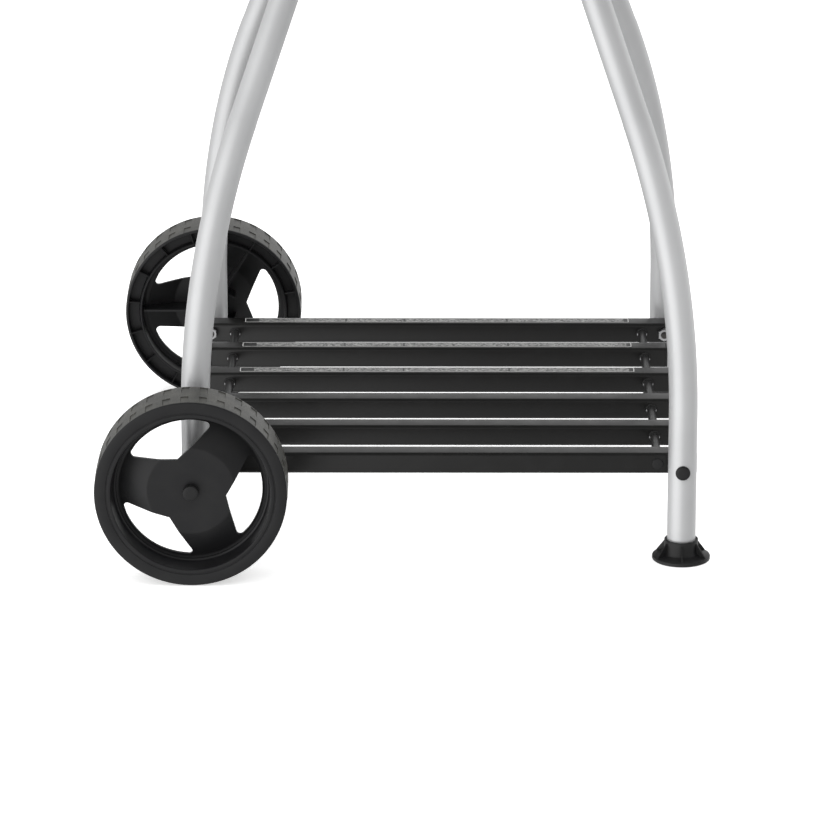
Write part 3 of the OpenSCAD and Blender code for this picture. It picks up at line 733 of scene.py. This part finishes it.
def slats():
    """Six rounded box-section slats, and the thin moulded plugs that stand out of their ends."""
    caps = bmesh.new()
    for number in range(1, 7):
        node = "shelf_slat_%d" % number
        low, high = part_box(node)
        middle = (low + high) / 2
        size = high - low
        bm = bmesh.new()
        bar(bm, low.x, high.x, middle.y, middle.z, size.y, size.z, 0.0003)
        finish_piece(node + "_tube", bm, [SLAT], "cart", [node])
        for x0, x1 in ((low.x - 0.002, low.x - 0.0001), (high.x + 0.0001, high.x + 0.002)):
            bar(caps, x0, x1, middle.y, middle.z, size.y, size.z, 0.0007)
    finish_piece("slat_plugs", caps, [PLASTIC], "cart", ["slat_end_caps"])


def rods():
    """Two rods through the slats, with plugged ends and a pressed collar at each inner slat face."""
    slat_boxes = [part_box("shelf_slat_%d" % n) for n in range(1, 7)]
    collars, plugs = bmesh.new(), bmesh.new()
    for name in ("left", "right"):
        node = "shelf_rod_" + name
        low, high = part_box(node)
        middle = (low + high) / 2
        r = (high.x - low.x) / 2
        length = high.y - low.y
        bm = bmesh.new()
        outline = [(AXIS_R, 0), (r - 0.0005, 0), (r, 0.0005), (r, length - 0.0005),
                   (r - 0.0005, length), (AXIS_R, length)]
        lathe(bm, outline, 40, facing((middle.x, low.y, middle.z), (0, 1, 0)))
        finish_piece(node + "_bar", bm, [ROD], "cart", [node])
        faces = [(sign, corner.y) for box in slat_boxes for sign, corner in zip((-1, 1), box)]
        for sign, y in faces[1:-1]:
            at = facing((middle.x, y, middle.z), (0, sign, 0))
            collar = [(r, 0), (0.0064, 0), (0.0065, 0.0003), (0.0063, 0.0009), (0.0057, 0.0015),
                      (0.0056, 0.0019), (0.0052, 0.0020), (r, 0.0020)]
            lathe(collars, collar, 36, at)
            for side in (-1, 1):
                tab_at = (side * 0.0051, 0, 0.0021)
                plate(collars, at, (0.0010, 0.0024, 0.0012), tab_at, bevel=0.0003, material=1)
    low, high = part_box("rod_end_plugs")
    plug = [(AXIS_R, 0), (0.0060, 0), (0.0060, 0.0005), (0.0054, 0.0011), (0.0048, PLUG_PROUD),
            (AXIS_R, PLUG_PROUD)]
    for sx in (-1, 1):
        for sign in (-1, 1):
            y = high.y - PLUG_PROUD if sign > 0 else low.y + PLUG_PROUD
            lathe(plugs, plug, 36, facing((sx * ROD_X, y, (low.z + high.z) / 2), (0, sign, 0)))
    finish_piece("rod_collars", collars, [ROD, ZINC], "cart", ["rod_clips"])
    finish_piece("rod_plugs", plugs, [PLASTIC], "cart", ["rod_end_plugs"])


def hexagon(bm, place, across, height, chamfer, hole):
    """A hexagon nut: flats all round, both faces chamfered, with a hole of radius hole."""
    flat_r = across / 2
    corner_r = flat_r * 1.17
    rows = []
    for limit, z in ((hole, 0.0), (flat_r - 0.0002, 0.0), (corner_r, chamfer),
                     (corner_r, height - chamfer), (flat_r - 0.0002, height), (hole, height)):
        ring = []
        for k in range(NUT_SIDES):
            a = TAU * k / NUT_SIDES
            flat = flat_r / math.cos((a + math.pi / 6) % (math.pi / 3) - math.pi / 6)
            r = min(limit, flat)
            ring.append(bm.verts.new(place @ Vector((r * math.cos(a), r * math.sin(a), z))))
        rows.append(ring)
    skin(bm, rows, closed=True)


def threaded_end(bm, place, start, length, r, material):
    """The threaded end of a bolt, as rings of thread with a chamfered tip."""
    outline = [(AXIS_R, start)]
    for k in range(int(length / THREAD_PITCH)):
        z = start + k * THREAD_PITCH
        outline += [(r - 0.0006, z), (r, z + THREAD_PITCH * 0.45), (r, z + THREAD_PITCH * 0.6)]
    outline += [(r - 0.0009, start + length), (AXIS_R, start + length)]
    lathe(bm, outline, 32, place, material)


def nuts_and_caps():
    """The nuts inside the end slats, the right legs' bolts and the round caps over their heads."""
    nuts, caps, bolts = bmesh.new(), bmesh.new(), bmesh.new()
    cap_low, cap_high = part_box("bolt_caps")
    cap_x, cap_z = LEG_HALF, (cap_low.z + cap_high.z) / 2
    cap_r = (cap_high.x - cap_low.x) / 2
    cap = [(AXIS_R, 0.0), (0.0040, 0.00004), (cap_r - 0.0018, 0.0002), (cap_r - 0.0007, 0.0007),
           (cap_r - 0.0001, 0.0015), (cap_r, 0.0024), (0.0061, 0.0024), (0.0061, 0.0009),
           (AXIS_R, 0.0009)]
    reach = LEG_HALF + LEG_R - NUT_FACE_Y
    bolt = [(AXIS_R, -0.0018), (0.0055, -0.0018), (0.006, -0.0012), (0.006, 0), (0.004, 0),
            (0.004, reach), (AXIS_R, reach)]
    for sign in (-1, 1):
        inwards = (0, -sign, 0)
        for x, z in ((cap_x, cap_z), (-LEG_HALF - AXLE_SHIFT, cap_z + AXLE_RISE)):
            at = facing((x, sign * NUT_FACE_Y, z), inwards)
            hexagon(nuts, at, 0.013, 0.0065, 0.0011, 0.0041)
        at = facing((cap_x, sign * (LEG_HALF + LEG_R), cap_z), inwards)
        lathe(bolts, bolt, 32, at)
        # The thread end takes the darker steel as painted shade, so the nut's centre reads as a dark
        # hole.
        threaded_end(bolts, at, reach, 0.0085, 0.004, material=1)
        outer = cap_high.y if sign > 0 else cap_low.y
        lathe(caps, cap, 56, facing((cap_x, outer, cap_z), inwards))
    finish_piece("shelf_nuts_hex", nuts, [ZINC], "cart", ["shelf_nuts"])
    finish_piece("leg_bolts_turned", bolts, [ZINC, DARK_STEEL_AND_PAINTED_SHADE], "cart", ["leg_bolts"])
    finish_piece("bolt_caps_round", caps, [PLASTIC], "cart", ["bolt_caps"])


def screw(bm, place, head_r, head_h, shank_r, shank):
    """A pan-head screw with a cross recess. Local +Z points out of the head, from its seat."""
    body = bmesh.new()
    lathe(body, [(FINE_AXIS_R, head_h), (head_r * 0.35, head_h * 0.98),
                 (head_r * 0.7, head_h * 0.84), (head_r * 0.92, head_h * 0.55),
                 (head_r, head_h * 0.22), (head_r, 0), (shank_r, 0), (shank_r, -shank),
                 (FINE_AXIS_R, -shank)], 40)
    for long_x, long_y in ((1.05, 0.2), (0.2, 1.05)):
        recess = bmesh.new()
        bmesh.ops.create_cube(recess, size=1.0)
        bmesh.ops.scale(recess, vec=(head_r * long_x, head_r * long_y, head_h), verts=recess.verts)
        bmesh.ops.translate(recess, vec=(0, 0, head_h), verts=recess.verts)
        body = cut(body, recess)
    add_mesh(bm, body, place)


def kettle_screws():
    """The cross screws and nuts of the leg sockets, and the screws of the side brackets."""
    socket_bm, bracket_bm = bmesh.new(), bmesh.new()
    low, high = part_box("socket_screws")
    along = ((low.z + high.z) / 2 - BEND_TOP_Z) / math.cos(BEND_ANGLE)
    seat = LEG_R + 0.0035
    for k in range(4):
        turn = math.radians(45 + 90 * k)
        out = Vector((math.cos(turn), math.sin(turn), 0))
        side = Vector((-out.y, out.x, 0))
        axis = Vector((0, 0, math.cos(BEND_ANGLE))) - out * math.sin(BEND_ANGLE)
        centre = out * BEND_TOP_REACH + Vector((0, 0, BEND_TOP_Z)) + axis * along
        head_at = facing(centre - side * seat, -side)
        screw(socket_bm, head_at, 0.006, 0.0038, 0.003, seat * 2 + 0.003)
        hexagon(socket_bm, facing(centre + side * seat, side), 0.010, 0.0048, 0.0008, 0.003)
    finish_piece("socket_screws_pan", socket_bm, [ZINC], "cart", ["socket_screws"])
    low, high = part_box("bracket_screws")
    x, z = high.x - 0.0055, (low.z + high.z) / 2
    for sx in (-1, 1):
        for sy in (-1, 1):
            head_at = facing((sx * x, sy * BRACKET_SCREW_Y, z), (0, sy, 0))
            screw(bracket_bm, head_at, 0.0055, 0.0029, 0.0024, 0.024)
    finish_piece("bracket_screws_pan", bracket_bm, [ZINC], "cart", ["bracket_screws"])


def heat_shield():
    """The plate under the lid handle, with rounded corners and both long edges turned down."""
    low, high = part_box("lid_heat_shield")
    bm = bmesh.new()
    half = (high.y - low.y) / 2
    thick = high.z - low.z
    section = [(-half, -0.004), (-half, -0.0012)]
    section += arc(-half + 0.0014, thick - 0.0014, 0.0014, 180, 90, 5)
    section += arc(half - 0.0014, thick - 0.0014, 0.0014, 90, 0, 5)
    section += [(half, -0.0012), (half, -0.004), (half - 0.001, -0.004), (half - 0.001, -0.001),
                (half - 0.0024, 0.0), (-half + 0.0024, 0.0), (-half + 0.001, -0.001),
                (-half + 0.001, -0.004)]
    ends = ((0.0, 0.90), (0.0012, 0.95), (0.0035, 0.99), (0.006, 1.0))
    stations = [(low.x + inset, share) for inset, share in ends]
    stations += [(high.x - inset, share) for inset, share in reversed(ends)]
    rows = [[bm.verts.new((x, y * share, low.z + z)) for y, z in section]
            for x, share in stations]
    skin(bm, rows)
    for row in (rows[0], rows[-1]):
        bm.faces.new(row)
    finish_piece("lid_heat_shield_pressed", bm, [ALUMINIUM], "lid", ["lid_heat_shield"])


# ---------- feet ----------

def foot(node):
    """A flared foot with six gussets round the socket that takes the leg."""
    low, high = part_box(node)
    centre = (low + high) / 2
    place = Matrix.Translation((centre.x, centre.y, low.z))
    r = (high.x - low.x) / 2
    height = high.z - low.z
    flange = [(AXIS_R, 0.0004), (0.018, 0.0004), (0.0195, 0.0), (r - 0.0006, 0.0)]
    flange += arc(r - 0.0008, 0.0008, 0.0008, -60, 0, 3) + [(r, 0.0028)]
    flange += arc(r - 0.0010, 0.0030, 0.0010, 0, 80, 5)
    neck = [(0.0265, 0.0046), (0.0215, 0.0056), (0.0194, 0.0066), (0.0184, 0.0085),
            (0.0180, 0.0115), (0.0178, 0.0165), (0.0178, height - 0.0007),
            (0.0174, height - 0.0001), (0.0169, height), (0.0160, height - 0.0002),
            (0.01525, height - 0.0009), (0.01525, 0.0042), (AXIS_R, 0.0042)]
    bm = bmesh.new()
    lathe(bm, flange + neck, 96, place)
    gusset = [(0.016, 0.0035), (r - 0.0012, 0.0035), (r - 0.0018, 0.0052), (0.0198, 0.0168),
              (0.0184, 0.0186), (0.016, 0.0186)]
    for k in range(6):
        radial_rib(bm, place, gusset, 0.0017, math.radians(30 + 60 * k))
    finish_piece(node + "_moulding", bm, [PLASTIC], "cart", [node])


# ---------- grips and grates ----------

GRIP_STEPS = 40
GRIP_RING_PROUD = 0.0003
WIRE_SIDES = 12
GRATE_RING_R = 0.0030


def waisted(r, waist, z, half):
    """The radius at z of a grip that narrows by waist in its middle."""
    return r - waist * math.cos(z / half * math.pi / 2) ** 2


def raised_ring(bm, place, r, z, steps):
    """A low ring round a grip that has the radius r at z."""
    lathe(bm, [(r - 0.0012, z - 0.0018), (r + 0.0002, z - 0.0012), (r + 0.0003, z + 0.0012),
               (r - 0.0012, z + 0.0018)], steps, place)


def side_grip(name):
    """A side handle's grip: a slight waist, rounded ends and three raised rings near each end."""
    node = "grip_" + name
    low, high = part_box(node)
    place = facing((low + high) / 2, (0, 1, 0))
    r = (high.x - low.x) / 2 - GRIP_RING_PROUD
    half = (high.y - low.y) / 2
    outline = [(0.0026, -half)]
    outline += arc(r - 0.004, -half + 0.004, 0.004, -90, 0, 6)
    for k in range(1, GRIP_STEPS):
        z = -half + 0.004 + (2 * half - 0.008) * k / GRIP_STEPS
        outline.append((waisted(r, 0.0012, z, half), z))
    outline += arc(r - 0.004, half - 0.004, 0.004, 0, 90, 6) + [(0.0026, half)]
    bm = bmesh.new()
    lathe(bm, outline, 56, place)
    for k in range(3):
        for sign in (-1, 1):
            z = sign * (half - 0.016 - 0.0062 * k)
            raised_ring(bm, place, waisted(r, 0.0012, z, half), z, 56)
    finish_piece(node + "_moulding", bm, [GRIP], "cart", [node])


def lid_grip():
    """The lid handle's grip: a slight waist, half-round ends and three raised rings near each."""
    low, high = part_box("lid_grip")
    place = facing((low + high) / 2, (1, 0, 0))
    r = (high.z - low.z) / 2 - GRIP_RING_PROUD
    half = (high.x - low.x) / 2
    straight = half - r
    end = [(max(y, AXIS_R), x) for x, y in arc(straight, 0, r, 0, 88, 14)]
    heights = [straight * (1 - 2 * k / GRIP_STEPS) for k in range(1, GRIP_STEPS)]
    outline = list(reversed(end))
    outline += [(waisted(r, 0.0010, z, straight), z) for z in heights]
    outline += [(q, -z) for q, z in end]
    bm = bmesh.new()
    lathe(bm, outline, 64, place)
    for sign in (-1, 1):
        for k in range(3):
            z = sign * (straight - 0.004 - 0.0065 * k)
            raised_ring(bm, place, waisted(r, 0.0010, z, straight), z, 64)
    finish_piece("lid_grip_moulding", bm, [GRIP], "lid", ["lid_grip"])


def wire(bm, start, stop, r):
    """A straight round wire with softened ends."""
    start, stop = Vector(start), Vector(stop)
    length = (stop - start).length
    outline = [(FINE_AXIS_R, 0), (r * 0.6, 0.0002), (r, r * 0.6), (r, length - r * 0.6),
               (r * 0.6, length - 0.0002), (FINE_AXIS_R, length)]
    lathe(bm, outline, WIRE_SIDES, facing(start, stop - start))


def wire_ring(bm, centre, ring_r, r):
    """A closed ring of round wire, lying flat."""
    section = arc(0, 0, r, 0, 360 - 360 / WIRE_SIDES, WIRE_SIDES - 1)
    lathe(bm, [(ring_r + x, y) for x, y in section], 120, Matrix.Translation(centre))


def grate(node, pitch, wire_r, cross_y):
    """A round grate: parallel bars on an outer ring, with two cross bars under them."""
    low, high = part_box(node)
    centre = (low + high) / 2
    ring_r = (high.y - low.y) / 2 - GRATE_RING_R
    bm = bmesh.new()
    ring_at = Vector((centre.x, centre.y, high.z - GRATE_RING_R - 0.001))
    wire_ring(bm, ring_at, ring_r, GRATE_RING_R)
    bar_z = high.z - wire_r - 0.0002
    count = int((ring_r - 0.004) / pitch)
    for k in range(-count, count + 1):
        x = k * pitch
        reach = math.sqrt(ring_r ** 2 - x ** 2)
        wire(bm, (x, -reach, bar_z), (x, reach, bar_z), wire_r)
    cross_z = bar_z - 1.7 * wire_r
    for y in (-cross_y, cross_y):
        reach = math.sqrt(ring_r ** 2 - y ** 2)
        wire(bm, (-reach, y, cross_z), (reach, y, cross_z), wire_r)
    finish_piece(node + "_wires", bm, [CHROME], node, [node])


# ---------- thermometer ----------

GAUGE_TILT = math.radians(25)
GLASS_HEIGHT = 0.0125
DIAL_HEIGHT = 0.0048

# The lid's top is part of a sphere with this centre height and radius.
LID_CROWN_Z = 0.6294
LID_CROWN_R = 0.3826


def gauge_frame(height):
    """The gauge's own frame at this height above the lid's outside, along the gauge's axis."""
    tilt = Matrix.Rotation(GAUGE_TILT, 4, "X")
    crown = Matrix.Translation((0, 0, LID_CROWN_Z)) @ tilt @ Matrix.Translation((0, 0, LID_CROWN_R))
    return crown @ Matrix.Translation((0, 0, height))


def gauge_bezel():
    """The thermometer's case edge, with a rolled bezel that holds the glass."""
    bm = bmesh.new()
    outline = [(0.0275, -0.0105), (0.0296, -0.0105), (0.0296, -0.0020)]
    outline += arc(0.0286, 0.0, 0.0014, -40, 150, 9)
    outline += [(0.0272, -0.0004), (0.0270, -0.0022), (0.0275, -0.0026)]
    lathe(bm, outline, 96, gauge_frame(GLASS_HEIGHT))
    finish_piece("gauge_bezel", bm, [GAUGE], "lid")


def gauge_dial():
    """A plain dial under the glass: a white disc, tick marks and two coloured arcs."""
    place = gauge_frame(DIAL_HEIGHT)
    bm = bmesh.new()
    prism(bm, arc(0, 0, 0.0272, 0, 355, 71), -0.0003, 0.0, place, 0)
    for k in range(28):
        angle = math.radians(225 - 10 * k)
        inner, width = (0.0195, 0.0009) if k % 3 == 0 else (0.0215, 0.0005)
        d = Vector((math.cos(angle), math.sin(angle)))
        n = Vector((-d.y, d.x)) * width / 2
        quad = [d * inner - n, d * 0.0245 - n, d * 0.0245 + n, d * inner + n]
        prism(bm, [tuple(q) for q in quad], 0.0, 0.0002, place, 1)
    for start, stop, material in ((80, 150, 2), (20, 76, 3)):
        outer = arc(0, 0, 0.0262, start, stop, 16)
        inner = arc(0, 0, 0.0252, stop, start, 16)
        prism(bm, outer + inner, 0.0, 0.00015, place, material)
    finish_piece("gauge_dial", bm, [DIAL_WHITE, DIAL_BLACK, DIAL_ZONE_LOW, DIAL_ZONE_HIGH], "lid")


# ---------- stage, lights and camera ----------

CAMERA_LENS = 236.9
CAMERA_AT = (-0.01105, -5.65137, 1.95652)
CAMERA_DOWN = 18.431
CAMERA_TURN = 0.152


def stage_object(obj, name, glow):
    """Makes obj a plain white surface that only the camera and transmitted rays see."""
    obj.name = name
    s = Shader(name + "_paper", (0.93, 0.93, 0.93), 0.9)
    s.tint(s.noise(3, 2), (0.95, 0.95, 0.95))
    s.set(Emission_Color=(1, 1, 1, 1), Emission_Strength=glow)
    obj.data.materials.append(s.mat)
    obj.visible_diffuse = False
    obj.visible_glossy = False
    obj.visible_shadow = False


def build_stage():
    """A plain white floor inside a large white dome."""
    bpy.ops.mesh.primitive_plane_add(size=60, location=(0, 0, -0.0005))
    stage_object(bpy.context.object, "floor", 0.55)
    bpy.ops.mesh.primitive_uv_sphere_add(radius=28, segments=64, ring_count=32)
    stage_object(bpy.context.object, "backdrop", 1.0)


def build_surround():
    """An even grey surround, darker overhead, with a glow at the front left and a pale back."""
    world = bpy.data.worlds.new("studio")
    bpy.context.scene.world = world
    world.use_nodes = True
    nodes, links = world.node_tree.nodes, world.node_tree.links
    direction = nodes.new("ShaderNodeTexCoord").outputs["Generated"]

    def towards(axis, start, stop, low, high):
        """low where the direction's share along axis is under start, then up softly to high."""
        dot = nodes.new("ShaderNodeVectorMath")
        dot.operation = "DOT_PRODUCT"
        dot.inputs[1].default_value = axis
        links.new(direction, dot.inputs[0])
        soft = nodes.new("ShaderNodeMapRange")
        soft.interpolation_type = "SMOOTHSTEP"
        for name, value in (("From Min", start), ("From Max", stop),
                            ("To Min", low), ("To Max", high)):
            soft.inputs[name].default_value = value
        links.new(dot.outputs["Value"], soft.inputs["Value"])
        return soft.outputs["Result"]

    def combine(operation, first, second):
        node = nodes.new("ShaderNodeMath")
        node.operation = operation
        links.new(first, node.inputs[0])
        links.new(second, node.inputs[1])
        return node.outputs["Value"]

    even = combine("MULTIPLY", towards((1, 0, 0), -1, 1, 0.60, 0.50),
                   towards((0, 0, 1), 0.25, 0.75, 1.0, 0.25))
    glow = towards((-0.75, -0.65, -0.10), 0.55, 1.0, 0.0, 0.95)
    backdrop = towards((0.55, 0.83, 0.10), 0.50, 0.98, 0.0, 0.40)
    strength = combine("ADD", combine("ADD", even, glow), backdrop)
    links.new(strength, nodes["Background"].inputs["Strength"])
    nodes["Background"].inputs["Color"].default_value = (1, 1, 1, 1)


def build_lights():
    """A very wide overhead light, which the glossy surfaces don't mirror."""
    light = bpy.data.lights.new("overhead", "SUN")
    light.energy = 2.9
    light.angle = math.radians(110)
    lamp = bpy.data.objects.new("overhead", light)
    lamp.visible_glossy = False
    bpy.context.collection.objects.link(lamp)


def build_camera():
    """Long lens, a little above the shelf and looking down at 18 degrees."""
    camera = bpy.data.cameras.new("camera")
    camera.sensor_width = 36
    camera.lens = CAMERA_LENS
    camera.clip_end = 100
    eye = bpy.data.objects.new("camera", camera)
    eye.location = CAMERA_AT
    eye.rotation_euler = (math.radians(90 - CAMERA_DOWN), 0, math.radians(CAMERA_TURN))
    bpy.context.collection.objects.link(eye)
    bpy.context.scene.camera = eye


# ---------- the model ----------

dress_cad_nodes()
wheel("wheel_front", side=-1, first_spoke=52, first_notch=93.2)
wheel("wheel_rear", side=1, first_spoke=60, first_notch=74.2)
hub_cap("hub_cap_front", "wheel_front", side=-1)
hub_cap("hub_cap_rear", "wheel_rear", side=1)
leg("leg_front_left", -1, -1)
leg("leg_front_right", 1, -1)
leg("leg_rear_left", -1, 1)
leg("leg_rear_right", 1, 1)
slats()
rods()
nuts_and_caps()
foot("foot_front")
foot("foot_rear")
stickers()
kettle_screws()
heat_shield()
side_grip("left")
side_grip("right")
lid_grip()
grate("cooking_grate", pitch=0.022, wire_r=0.0023, cross_y=0.120)
grate("charcoal_grate", pitch=0.026, wire_r=0.0027, cross_y=0.090)
gauge_bezel()
gauge_dial()
build_stage()
build_surround()
build_lights()
build_camera()

bpy.context.scene.view_settings.view_transform = "Standard"
